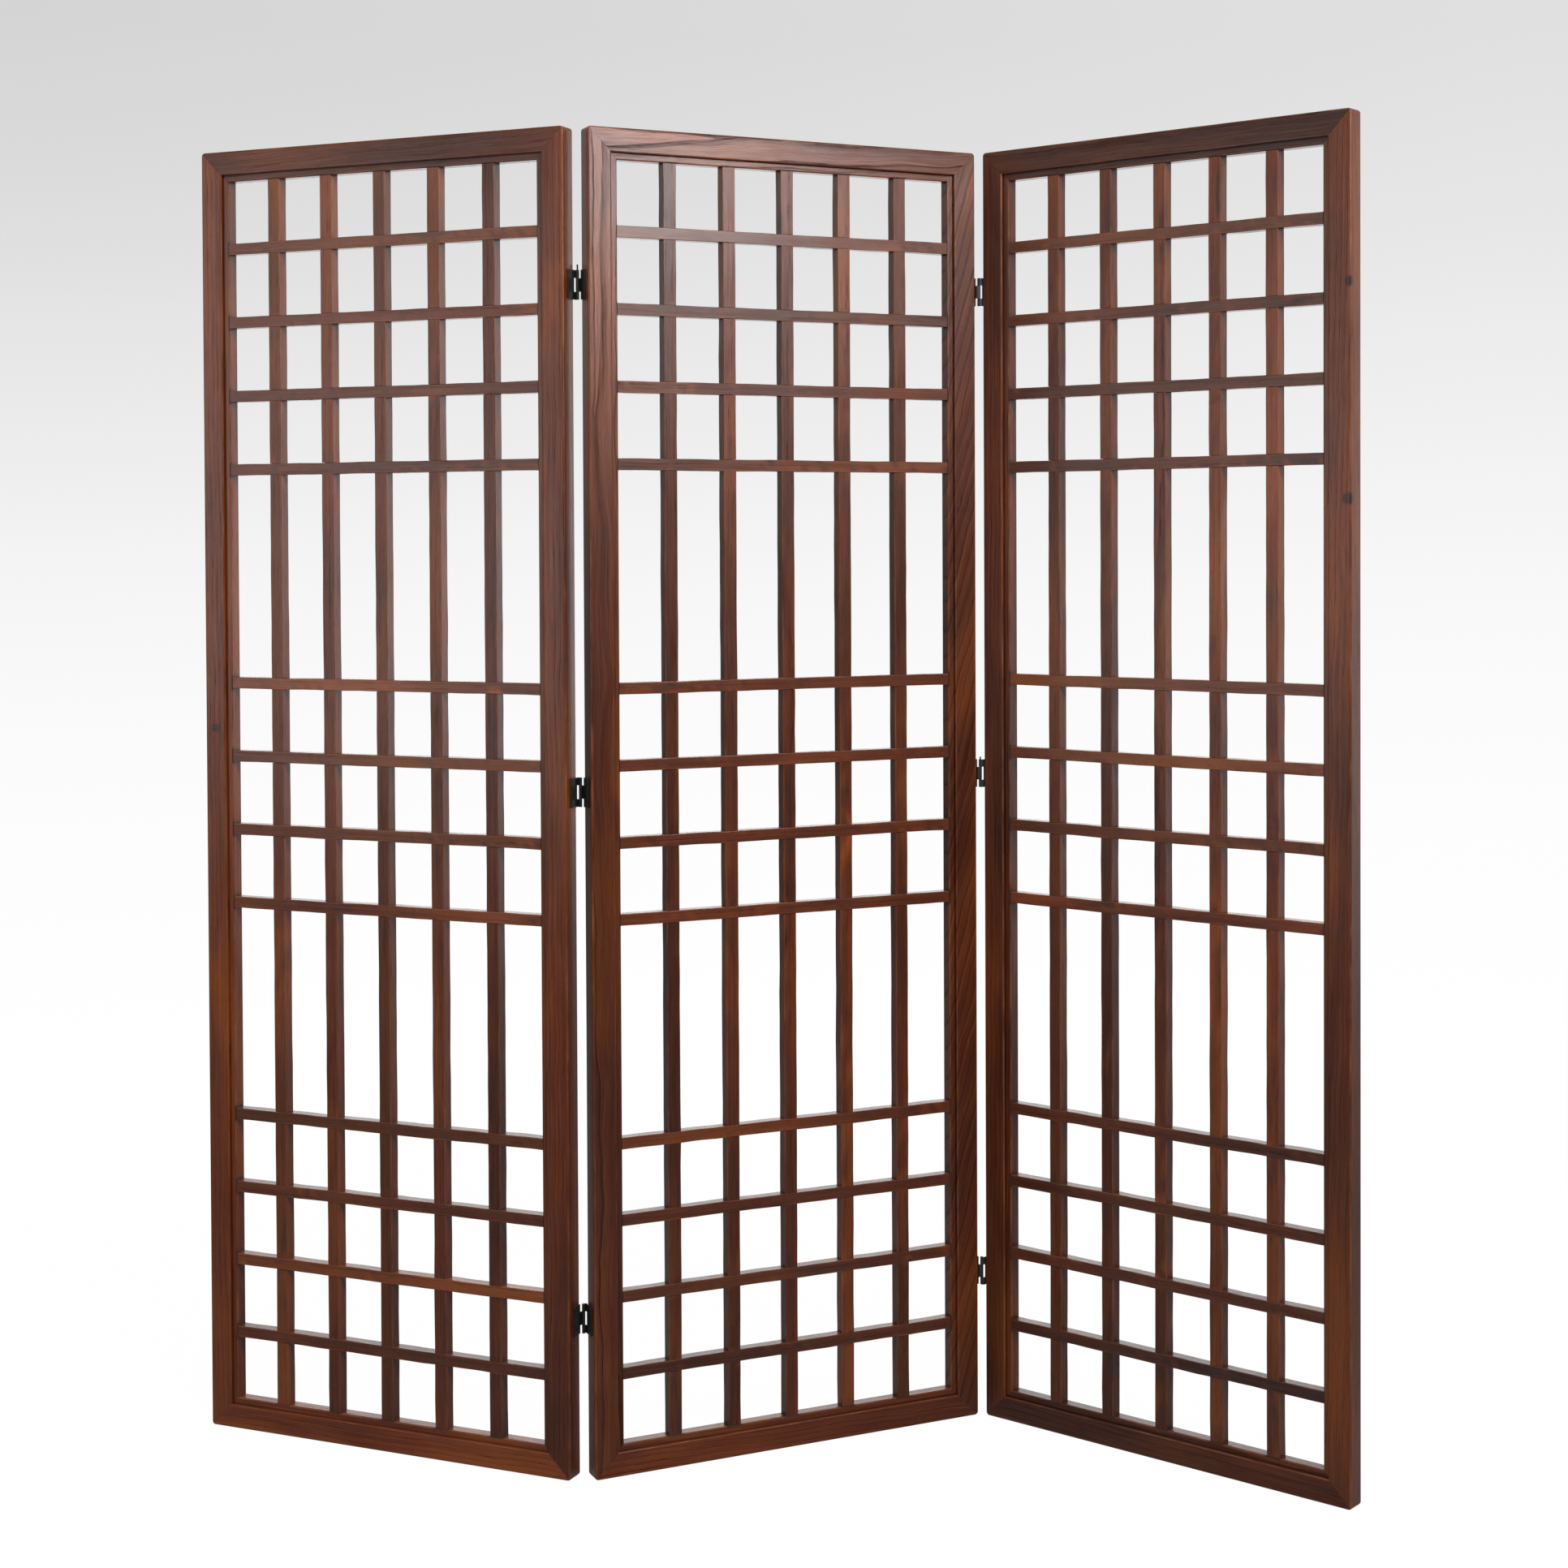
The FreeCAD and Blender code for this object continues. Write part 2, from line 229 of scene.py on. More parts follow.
# Each kind of board's finish: how dark its smudges are, how dull it is and how much wax it has
woodFinish = {
    "frame": {"smudge": 0.22, "dullness": 0.20, "coat": 0.0},
    "upright": {"smudge": 0.7, "dullness": 0.25, "coat": 0.05},
    "crossbar": {"smudge": 0.7, "dullness": 0.27, "coat": 0.16},
}


def grainNoise(tree, place, title):
    return noise(tree, place, *grainLook[title])


def grainOnTree(tree, place, tone, figure):
    # each point's place in the tree that its board was cut from, and how wide the rings are there
    strength, wider, lean = figure
    chance = addNode(tree, "ShaderNodeTexWhiteNoise", {"W": tone}, noise_dimensions="1D").outputs["Color"]
    heart = vectorCalc(tree, "MULTIPLY_ADD", chance, grainLook["heartSpread"], grainLook["heartMiddle"])
    along = partsOf(tree, place)[0]
    waver = calc(tree, "SUBTRACT", grainNoise(tree, place, "wavering"), 0.5)
    looseness = times(tree, grainLook["waver"], calc(tree, "ADD", strength, grainLook["plainWaver"]))
    sideways = timesPlus(tree, waver, looseness, times(tree, along, lean))
    drift = vectorOf(tree, Y=sideways)
    onTree = vectorCalc(tree, "ADD", vectorCalc(tree, "ADD", place, heart), drift)
    spacing = calc(tree, "DIVIDE", grainLook["ringScale"], calc(tree, "ADD", wider, 1.0))
    detail, detailScale, detailRoughness = grainLook["ringDetail"]
    rings = addNode(tree, "ShaderNodeTexWave", {
        "Vector": vectorCalc(tree, "MULTIPLY", onTree, grainLook["ringStretch"]),
        "Scale": spacing,
        "Distortion": grainLook["ringWander"],
        "Detail": detail,
        "Detail Scale": detailScale,
        "Detail Roughness": detailRoughness,
    }, wave_type="RINGS", rings_direction="X", wave_profile="SAW").outputs["Fac"]
    return onTree, rings


def boardValue(tree, title, output="Fac"):
    return addNode(tree, "ShaderNodeAttribute", attribute_name=title).outputs[output]


def makeWood(name, finish, arrisDistance, quirkShadeAt=None):
    material, tree = newMaterial(name)
    place = boardValue(tree, "grainPlace", "Vector")
    tone = boardValue(tree, "boardTone")
    boardShade = boardValue(tree, "boardShade")
    boardFigure = partsOf(tree, boardValue(tree, "boardFigure", "Vector"))
    strength = boardFigure[0]
    joint = boardValue(tree, "joint")
    onTree, rings = grainOnTree(tree, place, tone, boardFigure)
    titles = ("streaks", "patches", "broad", "pores", "fibres", "rubbed")
    streaks, patches, broad, pores, fibres, rubbed = (grainNoise(tree, onTree, title) for title in titles)
    warmth = grainNoise(tree, vectorCalc(tree, "ADD", onTree, grainLook["warmthShift"]), "warmth")

    # colour: rings, streaks and patches first, then the board's own tint and its broad changes
    figure = times(tree, rings, figureLook["rings"])
    figure = timesPlus(tree, streaks, figureLook["streaks"], figure)
    figure = timesPlus(tree, fibres, figureLook["fibres"], figure)
    contrast = calc(tree, "ADD", strength, figureLook["plain"])
    figure = times(tree, calc(tree, "SUBTRACT", figure, figureLook["middle"]), contrast)
    figure = timesPlus(tree, patches, figureLook["patches"], figure)
    figure = mapRange(tree, figure, *figureLook["range"], smooth=False)
    shades = ("darkColour", "middleColour", "lightColour")
    colour = ramp(tree, figure, [(index * 0.5, woodLook[shade]) for index, shade in enumerate(shades)])
    warming = mapRange(tree, warmth, 0.42, 0.68, -0.32, 0.38)
    tint = calc(tree, "MAXIMUM", timesPlus(tree, tone, figureLook["toneTint"], warming), 0.0)
    colour = mixColour(tree, tint, colour, opaque(woodLook["boardTint"]))
    shade = times(tree, boardShade, mapRange(tree, broad, 0.32, 0.68, 0.74, 1.28))
    ringLine = mapRange(tree, rings, 0.0, 0.24, 1.0, 0.0)
    ringLine = times(tree, ringLine, mapRange(tree, streaks, 0.38, 0.58, 0.35, 1.0))
    ringDepth = times(tree, ringLine, timesPlus(tree, strength, 0.80, 0.12))
    shade = times(tree, shade, calc(tree, "SUBTRACT", 1.04, ringDepth))
    # painted shade: the wood is darker towards the screen's foot, as the light falls off lower down
    height = partsOf(tree, objectPlace(tree))[2]
    shade = times(tree, shade, mapRange(tree, height, 0.0, 0.34, 0.84, 1.0))
    colour = mixColour(tree, 1.0, colour, greyOf(tree, shade), "MULTIPLY")
    poreMask = times(tree, mapRange(tree, pores, 0.52, 0.66), timesPlus(tree, ringLine, 0.75, 0.15))
    colour = mixColour(tree, poreMask, colour, opaque(woodLook["poreColour"]))
    smudges = grainNoise(tree, vectorCalc(tree, "ADD", onTree, grainLook["smudgeShift"]), "smudges")
    smudged = mapRange(tree, smudges, 0.57, 0.72, 0.0, woodFinish[finish]["smudge"])
    colour = mixColour(tree, smudged, colour, opaque(woodLook["smudgeColour"]))

    # wear along the arrises, lightened in part as a painted highlight on the rounds; painted contact shade
    # and dark joint gaps at the bar ends; and knots and painted shade in the quirk on the frame
    wearAndHighlight = mapRange(tree, arrisDistance(tree, place), 0.0003, 0.0022, 1.0, 0.0)
    wearAndHighlight = times(tree, wearAndHighlight, mapRange(tree, rubbed, 0.40, 0.70, 0.10, 0.62))
    colour = mixColour(tree, wearAndHighlight, colour, opaque(woodLook["wornAndHighlightColour"]))
    # painted contact shade and dark joint gap on the inner wall around each lattice bar's end
    endShade = times(tree, joint, mapRange(tree, rubbed, 0.25, 0.6, 0.5, 0.95))
    colour = mixColour(tree, endShade, colour, opaque(woodLook["paintedShadeColour"]))
    if quirkShadeAt:
        colour = addKnots(tree, colour, onTree)
        # painted shade in the quirk between the frame's step and its bead
        quirkShade = times(tree, quirkShadeAt(tree, place), mapRange(tree, rubbed, 0.25, 0.6, 0.0, 0.35))
        colour = mixColour(tree, quirkShade, colour, opaque(woodLook["paintedShadeColour"]))

    # pores and open grain are rougher and less glossy
    roughness = timesPlus(tree, fibres, 0.24, woodFinish[finish]["dullness"])
    roughness = timesPlus(tree, poreMask, 0.30, roughness)
    openGrain = times(tree, ringLine, calc(tree, "ADD", strength, 0.25))
    dulled = times(tree, calc(tree, "MAXIMUM", poreMask, openGrain), 0.9)
    gloss = calc(tree, "SUBTRACT", 1.0, dulled)
    gloss = times(tree, gloss, mapRange(tree, fibres, 0.38, 0.62, 0.72, 1.25))
    relief = timesPlus(tree, poreMask, -0.7, times(tree, fibres, 0.5))
    relief = timesPlus(tree, streaks, 1.6, relief)
    bumpiness = {"Strength": woodLook["bumpStrength"], "Distance": woodLook["bumpDepth"], "Height": relief}
    bump = shading(tree, "Bump", bumpiness)
    surface = shading(tree, "BsdfPrincipled", {
        "Base Color": colour,
        "Roughness": roughness,
        "Specular IOR Level": times(tree, gloss, woodLook["specular"]),
        "Specular Tint": opaque(woodLook["specularTint"]),
        "Coat Weight": woodFinish[finish]["coat"],
        "Coat Roughness": woodLook["coatRoughness"],
        "Normal": bump,
    })
    finishMaterial(tree, surface)
    return material


# Dark knots, each as (place on the screen, radius). Their edge blurs from core to rim, in radii.
knotLook = {
    "colour": (0.012, 0.0062, 0.0042),
    "raggedness": 0.010,
    "darkness": 0.85,
    "core": 0.7,
    "rim": 1.5,
    "knots": [
        ((0.5539, -0.5530, 1.6062), 0.0065),
        ((0.5529, -0.5509, 1.3238), 0.0070),
        ((-0.7033, 0.4311, 1.0074), 0.0055),
    ],
}


def addKnots(tree, colour, onTree):
    place = objectPlace(tree)
    blur = grainNoise(tree, onTree, "knotEdge")
    middleBlur = knotLook["raggedness"] / 2.0
    for middle, radius in knotLook["knots"]:
        apart = vectorCalc(tree, "DISTANCE", place, middle, output="Value")
        ragged = timesPlus(tree, blur, knotLook["raggedness"], apart)
        core = radius * knotLook["core"] + middleBlur
        rim = radius * knotLook["rim"] + middleBlur
        mask = mapRange(tree, ragged, core, rim, knotLook["darkness"], 0.0)
        colour = mixColour(tree, mask, colour, opaque(knotLook["colour"]))
    return colour


# One frame member's section, as (distance in from the panel's edge, distance from mid thickness)
frameMember = {
    "height": 1.830,
    "width": 0.590,
    "halfThickness": 0.014,
    "faceWidth": 0.0335,
    "memberWidth": 0.0430,
    "halfBead": 0.00925,
    "outerRound": 0.0022,
    "stepRound": 0.0016,
    "beadRound": 0.0014,
    "quirkWidth": 0.0009,
    "quirkDepth": 0.0003,
    "cornerRound": 0.0050,
    "mitreEase": 0.00010,
    "stations": 24,
    "unevenness": 0.00012,
    "crossbarHalf": 0.0080,
    "uprightHalf": 0.0094,
    # painted contact shade and dark joint gap beside each bar end, as (reach from the bar's side, darkness)
    "barEndShading": ((-0.006, 0.0), (-0.0024, 0.55), (-0.0006, 1.0), (0.0006, 1.0)),
    "crossbarHeights": [
        0.1388, 0.2436, 0.3484, 0.4533, 0.7578, 0.8626,
        0.9674, 1.0722, 1.3767, 1.4815, 1.5864, 1.6912,
    ],
    "uprightPlaces": [0.11946, 0.20723, 0.295, 0.38277, 0.47054],
}


def arcPoints(centre, radius, start, end, count):
    points = []
    for step in range(count + 1):
        angle = math.radians(start + (end - start) * step / count)
        points.append((centre[0] + radius * math.cos(angle), centre[1] + radius * math.sin(angle)))
    return points


def frameSection():
    values = frameMember
    half = values["halfThickness"]
    face = values["faceWidth"]
    inner = values["memberWidth"]
    bead = values["halfBead"]
    outerRound = values["outerRound"]
    stepRound = values["stepRound"]
    beadRound = values["beadRound"]
    front = [(0.0, 0.0), (0.0, half - outerRound - 0.0012)]
    front += arcPoints((outerRound, half - outerRound), outerRound, 180, 90, 7)
    front += [(outerRound + 0.0014, half), (0.014, half), (0.024, half), (face - stepRound - 0.001, half)]
    front += arcPoints((face - stepRound, half - stepRound), stepRound, 90, 0, 3)
    front += [(face, bead + 0.0012), (face, bead - values["quirkDepth"])]
    front += [(face + values["quirkWidth"], bead - values["quirkDepth"])]
    front += [(face + values["quirkWidth"] + 0.0003, bead), (inner - beadRound - 0.0012, bead)]
    front += arcPoints((inner - beadRound, bead - beadRound), beadRound, 90, 0, 5)
    front += [(inner, bead - beadRound - 0.001), (inner, 0.0)]
    outline = [(inward, -deep) for inward, deep in front]
    outline += [(inward, deep) for inward, deep in reversed(front[1:-1])]
    return outline


def jointStations(length):
    # stations near the lattice bars that enter this board, with how dark the painted contact shade and joint
    # gap are at each
    isStile = length > 1.0
    places = frameMember["crossbarHeights"] if isStile else frameMember["uprightPlaces"]
    half = frameMember["crossbarHalf"] if isStile else frameMember["uprightHalf"]
    marks = {}
    for place in places:
        for reach, endShade in frameMember["barEndShading"]:
            marks[place - half + reach] = endShade
            marks[place + half - reach] = endShade
    for step in range(1, frameMember["stations"]):
        station = 0.05 + (length - 0.10) * step / frameMember["stations"]
        if all(abs(station - mark) > 0.004 for mark in marks):
            nearest = min(places, key=lambda place: abs(place - station))
            marks[station] = 1.0 if abs(station - nearest) < half else 0.0
    return sorted(marks.items())


def memberRows(length, inward):
    # one section point's run along the board: round the panel's corner, then straight
    corner = frameMember["cornerRound"]
    ease = frameMember["mitreEase"]
    runs = []
    for step in range(6):
        angle = math.radians(45.0 * (1.0 - step / 5.0))
        if inward < corner:
            radius = corner - inward
            along = corner - radius * math.sin(angle) + ease * math.cos(angle)
            runs.append((along, corner - radius * math.cos(angle), 0.0))
        else:
            runs.append((inward + ease + 0.0001 * step, inward, 0.0))
    straight = [(station, inward, endShade) for station, endShade in jointStations(length)]
    return runs + straight + [(length - along, inset, endShade) for along, inset, endShade in reversed(runs)]


def wander(value, seed):
    return math.sin(value * 5.3 + seed) * 0.6 + math.sin(value * 13.7 + 2.1 * seed) * 0.4


def makeMember(name, length, toPanel, look, material):
    tone, boardShade, figure = look
    section = frameSection()
    work = bmesh.new()
    placeLayer = work.verts.layers.float_vector.new("grainPlace")
    figureLayer = work.verts.layers.float_vector.new("boardFigure")
    layers = [work.verts.layers.float.new(title) for title in ("boardTone", "boardShade", "joint")]
    rows = []
    for inward, deep in section:
        row = []
        onWall = inward > frameMember["memberWidth"] - 0.0016
        for along, inset, endShade in memberRows(length, inward):
            lift = wander(along, tone * 40.0) * frameMember["unevenness"]
            shift = lift * math.copysign(1.0, deep) * min(1.0, abs(deep) / frameMember["halfThickness"])
            vertex = work.verts.new(toPanel(along, inset, deep - abs(shift) * math.copysign(1.0, deep)))
            vertex[placeLayer] = (along, inset, deep)
            vertex[figureLayer] = figure
            for layer, value in zip(layers, (tone, boardShade, endShade if onWall else 0.0)):
                vertex[layer] = value
            row.append(vertex)
        rows.append(row)
    for index, row in enumerate(rows):
        following = rows[(index + 1) % len(rows)]
        for step in range(len(row) - 1):
            work.faces.new((row[step], row[step + 1], following[step + 1], following[step]))
    work.faces.new([row[0] for row in rows])
    work.faces.new([row[-1] for row in reversed(rows)])
    bmesh.ops.recalc_face_normals(work, faces=work.faces)
    mesh = meshFrom(work, name)
    finishMesh(mesh, material, 32.0)
    return makeObject(name, mesh)


def finishMesh(mesh, material, sharpAngle):
    mesh.materials.clear()
    mesh.materials.append(material)
    mesh.polygons.foreach_set("use_smooth", [True] * len(mesh.polygons))
    mesh.set_sharp_from_angle(angle=math.radians(sharpAngle))
    mesh.update()


def makeObject(name, mesh):
    piece = bpy.data.objects.new(name, mesh)
    bpy.context.scene.collection.objects.link(piece)
    return piece


def addPiece(piece, body, slot, *nodes):
    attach(piece, body)
    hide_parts(*nodes)
    return piece


def sectionParts(tree, place):
    parts = partsOf(tree, place)
    return parts[1], calc(tree, "ABSOLUTE", parts[2])


def frameArrises(tree, place):
    inward, deep = sectionParts(tree, place)
    fromFace = calc(tree, "SUBTRACT", frameMember["halfThickness"] - 0.0012, deep)
    outer = calc(tree, "MAXIMUM", calc(tree, "SUBTRACT", inward, 0.0012), fromFace)
    toStep = calc(tree, "ABSOLUTE", calc(tree, "SUBTRACT", inward, frameMember["faceWidth"]))
    step = calc(tree, "MAXIMUM", toStep, calc(tree, "ADD", fromFace, 0.0006))
    toInner = calc(tree, "SUBTRACT", frameMember["memberWidth"] - 0.0006, inward)
    bead = calc(tree, "MAXIMUM", toInner, calc(tree, "SUBTRACT", frameMember["halfBead"] - 0.0006, deep))
    return calc(tree, "MINIMUM", calc(tree, "MINIMUM", outer, step), bead)


def frameQuirkShade(tree, place):
    # painted shade: a dark band in the quirk at the foot of the step, on the bead
    inward, deep = sectionParts(tree, place)
    middle = frameMember["faceWidth"] + 0.0006
    fromQuirk = calc(tree, "ABSOLUTE", calc(tree, "SUBTRACT", inward, middle))
    shallow = mapRange(tree, deep, 0.0098, 0.0125, 1.0, 0.0)
    return times(tree, mapRange(tree, fromQuirk, 0.0005, 0.0022, 1.0, 0.0), shallow)


def barArrises(kind):
    halfWidth = latticeBars[kind]["width"] / 2.0
    halfDepth = latticeBars["depth"] / 2.0

    def distance(tree, place):
        across, deep = sectionParts(tree, place)
        fromSide = calc(tree, "SUBTRACT", halfWidth, calc(tree, "ABSOLUTE", across))
        fromFace = calc(tree, "SUBTRACT", halfDepth, deep)
        return calc(tree, "MAXIMUM", fromSide, fromFace)
    return distance


frameWood = makeWood("stainedFrameWood", "frame", frameArrises, frameQuirkShade)
# each board's tone, its shade, and its figure: strength, wider rings, lean of the grain
boardLooks = {
    "left": {
        "left_stile": (0.62, 1.20, (0.05, 0.3, 0.01)),
        "right_stile": (0.31, 1.00, (0.12, 0.0, 0.0)),
        "top_rail": (0.12, 0.66, (0.05, 0.2, 0.02)),
        "bottom_rail": (0.56, 1.55, (0.10, 0.0, 0.0)),
    },
    "middle": {
        "left_stile": (0.18, 0.80, (0.55, 0.0, 0.01)),
        "right_stile": (0.41, 0.72, (0.45, 0.9, 0.30)),
        "top_rail": (0.53, 1.10, (0.45, 0.1, 0.03)),
        "bottom_rail": (0.40, 1.22, (0.20, 0.0, 0.02)),
    },
    "right": {
        "left_stile": (0.27, 0.74, (0.20, 0.0, 0.0)),
        "right_stile": (0.66, 0.86, (0.10, 0.2, 0.02)),
        "top_rail": (0.22, 0.38, (0.10, 0.0, 0.01)),
        "bottom_rail": (0.07, 0.66, (0.10, 0.0, 0.02)),
    },
}


def makeFrame(panel):
    height = frameMember["height"]
    width = frameMember["width"]
    half = width / 2.0
    boards = {
        "left_stile": (height, lambda along, inset, deep: (inset - half, deep, along)),
        "right_stile": (height, lambda along, inset, deep: (half - inset, deep, along)),
        "bottom_rail": (width, lambda along, inset, deep: (along - half, deep, inset)),
        "top_rail": (width, lambda along, inset, deep: (along - half, deep, height - inset)),
    }
    for board, (length, toPanel) in boards.items():
        name = panel + "".join(word.capitalize() for word in board.split("_"))
        piece = makeMember(name, length, toPanel, boardLooks[panel][board], frameWood)
        piece.data.transform(panelPlace(panel))
        addPiece(piece, panel + "_panel", "stained_wood_frame", f"{panel}_panel_{board}")


for panel in panelNames:
    makeFrame(panel)
print("frame members made")


# The lattice bars: Geometry Nodes repeat one bar and cut the laps where the other set crosses it
latticeBars = {
    "arris": 0.0007,
    "arrisSteps": 3,
    "depth": 0.017,
    "stations": 48,
    "lapEase": 0.00012,
    "unevenness": 0.0020,
    "unevenScale": 19.0,
    "unevenDepth": 0.35,
    "shades": (0.54, 1.12),
    "shadeSeedStep": 17.0,
    "middleHeight": 0.915,
    "seeds": {"left": (3150, 7098), "middle": (4318, 1138), "right": (6697, 10533)},
    "uprights": {
        "width": 0.0188, "length": 1.744, "rows": 5, "rowStep": 0.08777, "groups": 1, "groupStep": 0.0,
    },
    "crossbars": {
        "width": 0.016, "length": 0.504, "rows": 4, "rowStep": 0.10482, "groups": 3, "groupStep": 0.61895,
    },
}


def newTree(name, floats, counts):
    tree = bpy.data.node_groups.new(name, "GeometryNodeTree")
    kinds = [("Geometry", "Geometry")] + [(title, "Float") for title in floats]
    kinds += [(title, "Int") for title in counts] + [("Material", "Material")]
    for title, kind in kinds:
        tree.interface.new_socket(title, in_out="INPUT", socket_type="NodeSocket" + kind)
    tree.interface.new_socket("Geometry", in_out="OUTPUT", socket_type="NodeSocketGeometry")
    return tree, addNode(tree, "NodeGroupInput").outputs


def geometry(tree, kind, inputs, **settings):
    return addNode(tree, "GeometryNode" + kind, inputs, **settings).outputs[0]


def copies(tree, points, shape, **more):
    return geometry(tree, "InstanceOnPoints", {"Points": points, "Instance": shape, **more})


def realized(tree, shape):
    return geometry(tree, "RealizeInstances", {0: shape})


def dressAndEnd(tree, shape, material):
    dressed = geometry(tree, "SetMaterial", {"Geometry": shape, "Material": material})
    addNode(tree, "NodeGroupOutput", {0: dressed})


def randomOf(tree, seed):
    return addNode(tree, "FunctionNodeRandomValue", {"Seed": seed}, data_type="FLOAT").outputs[1]


def evenly(tree, count, step):
    # where the first of a set of evenly spaced copies stands, with the set's middle at zero
    return times(tree, times(tree, calc(tree, "SUBTRACT", count, 1.0), step), -0.5)


def pointRows(tree, rows, rowStep, groups, groupStep, axis):
    lines = []
    for count, step in ((rows, rowStep), (groups, groupStep)):
        start = vectorOf(tree, **{axis: evenly(tree, count, step)})
        offset = vectorOf(tree, **{axis: step})
        lines.append(geometry(tree, "MeshLine", {"Count": count, "Start Location": start, "Offset": offset}))
    return realized(tree, copies(tree, lines[1], lines[0]))


def roundedBar(tree, given):
    # one bar along X, rounded along its four arrises
    size = {"Width": given["Bar Width"], "Height": given["Bar Depth"]}
    rounding = {"Curve": geometry(tree, "CurvePrimitiveQuadrilateral", size), "Radius": given["Arris Radius"]}
    eased = addNode(tree, "GeometryNodeFilletCurve", rounding, mode="POLY")
    eased.inputs["Count"].default_value = latticeBars["arrisSteps"]
    halfLength = times(tree, given["Bar Length"], 0.5)
    path = geometry(tree, "CurvePrimitiveLine", {
        "Start": vectorOf(tree, X=times(tree, halfLength, -1.0)),
        "End": vectorOf(tree, X=halfLength),
    })
    stepped = geometry(tree, "ResampleCurve", {"Curve": path, "Count": latticeBars["stations"]})
    sweep = {"Curve": stepped, "Profile Curve": eased.outputs[0], "Fill Caps": True}
    return geometry(tree, "CurveToMesh", sweep)


def lapCutters(tree, given):
    # one long cutter for each bar of the other set, over the lower half of the depth
    crossing = [given["Crossing " + title] for title in ("Rows", "Row Step", "Groups", "Group Step")]
    crossings = pointRows(tree, *crossing, "X")
    size = vectorOf(tree, X=calc(tree, "ADD", given["Crossing Width"], given["Lap Ease"]),
                    Y=given["Cut Span"], Z=given["Bar Depth"])
    cutter = geometry(tree, "MeshCube", {"Size": size})
    lowered = vectorOf(tree, Z=times(tree, given["Bar Depth"], -0.5))
    crossings = geometry(tree, "SetPosition", {"Geometry": crossings, "Offset": lowered})
    return realized(tree, copies(tree, crossings, cutter))


def buildBarTree():
    floats = ("Bar Width", "Bar Depth", "Bar Length", "Arris Radius", "Row Step", "Group Step",
              "Crossing Width", "Crossing Row Step", "Crossing Group Step",
              "Lap Ease", "Cut Span", "Unevenness")
    counts = ("Rows", "Groups", "Crossing Rows", "Crossing Groups", "Seed")
    tree, given = newTree("latticeBars", floats, counts)
    bar = roundedBar(tree, given)

    # the set of bars, each with its centre line, its own tone and its own shade
    own = [given[title] for title in ("Rows", "Row Step", "Groups", "Group Step")]
    points = pointRows(tree, *own, "Y")
    where = addNode(tree, "GeometryNodeInputPosition").outputs[0]
    shades = randomOf(tree, calc(tree, "ADD", given["Seed"], latticeBars["shadeSeedStep"]))
    points = storeValue(tree, points, "barCentre", partsOf(tree, where)[1])
    points = storeValue(tree, points, "boardTone", randomOf(tree, given["Seed"]))
    shade = mapRange(tree, shades, 0.0, 1.0, *latticeBars["shades"], False)
    points = storeValue(tree, points, "boardShade", shade)
    whole = realized(tree, copies(tree, points, bar))
    unevenness = {"Vector": where, "Scale": latticeBars["unevenScale"], "Detail": 1.0}
    wobble = addNode(tree, "ShaderNodeTexNoise", unevenness).outputs["Color"]
    centred = vectorCalc(tree, "SUBTRACT", wobble, (0.5, 0.5, 0.5))
    sideOnly = vectorCalc(tree, "MULTIPLY", centred, (0.0, 1.0, latticeBars["unevenDepth"]))
    scaling = {0: sideOnly, "Scale": given["Unevenness"]}
    push = addNode(tree, "ShaderNodeVectorMath", scaling, operation="SCALE")
    whole = geometry(tree, "SetPosition", {"Geometry": whole, "Offset": push.outputs[0]})
    lapped = geometry(tree, "MeshBoolean", {0: whole, 1: lapCutters(tree, given)},
                      operation="DIFFERENCE", solver="EXACT")

    # each cut bar takes its centre line, tone and shade again from the whole one
    sampled = []
    for title in ("barCentre", "boardTone", "boardShade"):
        value = geometry(tree, "InputNamedAttribute", {"Name": title}, data_type="FLOAT")
        sampled.append(geometry(tree, "SampleNearestSurface", {0: whole, "Value": value}, data_type="FLOAT"))
    along, across, through = partsOf(tree, where)
    grain = vectorOf(tree, X=along, Y=calc(tree, "SUBTRACT", across, sampled[0]), Z=through)
    result = storeValue(tree, lapped, "boardTone", sampled[1])
    result = storeValue(tree, result, "boardShade", sampled[2])
    result = storeValue(tree, result, "grainPlace", grain, "FLOAT_VECTOR")
    dressAndEnd(tree, realized(tree, result), given["Material"])
    return tree


def storeValue(tree, shape, title, value, kind="FLOAT"):
    inputs = {"Geometry": shape, "Name": title}
    node = addNode(tree, "GeometryNodeStoreNamedAttribute", inputs, data_type=kind, domain="POINT")
    setSocket(tree, node.inputs["Value"], value)
    return node.outputs[0]


def growTree(name, tree, values, base=None):
    # runs a node tree on an object and keeps the plain mesh that it makes
    carrier = makeObject(name + "Carrier", base or bpy.data.meshes.new(name + "Base"))
    modifier = carrier.modifiers.new("grow", "NODES")
    modifier.node_group = tree
    for item in tree.interface.items_tree:
        if item.item_type == "SOCKET" and item.in_out == "INPUT" and item.name in values:
            modifier[item.identifier] = values[item.name]
    graph = bpy.context.evaluated_depsgraph_get()
    mesh = bpy.data.meshes.new_from_object(carrier.evaluated_get(graph), preserve_all_data_layers=True,
                                           depsgraph=graph)
    mesh.name = name
    carrier.modifiers.remove(modifier)
    bpy.data.objects.remove(carrier)
    return mesh


barTree = buildBarTree()
uprightWood = makeWood("stainedUprightWood", "upright", barArrises("uprights"))
crossbarWood = makeWood("stainedCrossbarWood", "crossbar", barArrises("crossbars"))


